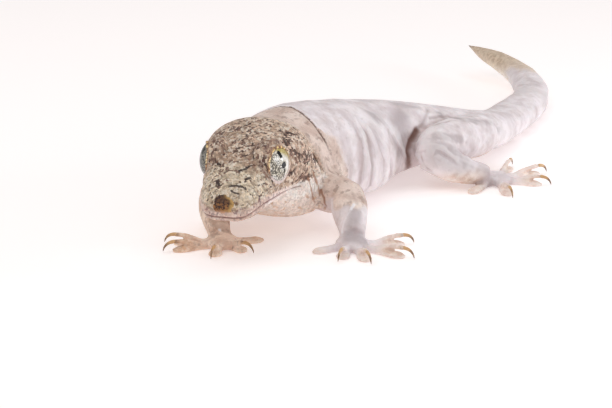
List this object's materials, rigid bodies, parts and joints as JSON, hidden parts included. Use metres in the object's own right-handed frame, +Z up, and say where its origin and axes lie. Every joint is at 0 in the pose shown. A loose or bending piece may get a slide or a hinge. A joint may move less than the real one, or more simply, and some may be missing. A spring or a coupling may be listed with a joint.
{
  "type": "standing gecko",
  "caption": "A giant gecko standing in a slow walk, with its broad head held low, belly close to the floor, spread toes with wide pads and claws, and its tail curved behind it",
  "frame": {"origin": "middle of the whole box's underside, on the floor that the animal stands on", "axes": "+Z is up, the head is towards -Y, the tail towards +Y, and +X is the animal's left side"},
  "size_m": [0.0914, 0.2622, 0.0331],
  "materials": {
    "head_skin": "fine granular scales, tan with dark brown flecks",
    "jaw_skin": "fine granular scales, cream with small brown spots",
    "body_skin": "loose old skin over fine scales, pale grey",
    "tail_tip_skin": "small scales, tan brown",
    "claw_horn": "smooth horn, amber to dark brown",
    "eye_surface": "wet and glossy, silver to yellow-green with black veins"
  },
  "bodies": {
    "root": {"claw_foot_left_2": "claw_horn", "claw_foot_left_3": "claw_horn", "claw_foot_left_4": "claw_horn", "claw_foot_left_5": "claw_horn", "claw_foot_right_2": "claw_horn", "claw_foot_right_3": "claw_horn", "claw_foot_right_4": "claw_horn", "claw_foot_right_5": "claw_horn", "claw_hand_left_2": "claw_horn", "claw_hand_left_3": "claw_horn", "claw_hand_left_4": "claw_horn", "claw_hand_left_5": "claw_horn", "claw_hand_right_2": "claw_horn", "claw_hand_right_3": "claw_horn", "claw_hand_right_4": "claw_horn", "claw_hand_right_5": "claw_horn", "eye_left": "eye_surface", "eye_right": "eye_surface", "foot_left": "body_skin", "foot_right": "body_skin", "forearm_left": "body_skin", "forearm_right": "body_skin", "hand_left": "body_skin", "hand_right": "body_skin", "head": "head_skin", "lower_jaw": "jaw_skin", "neck": "body_skin", "shank_left": "body_skin", "shank_right": "body_skin", "tail_base": "body_skin", "tail_middle": "body_skin", "tail_tip": "tail_tip_skin", "thigh_left": "body_skin", "thigh_right": "body_skin", "torso": "body_skin", "upper_arm_left": "body_skin", "upper_arm_right": "body_skin"}
  },
  "joints": []
}
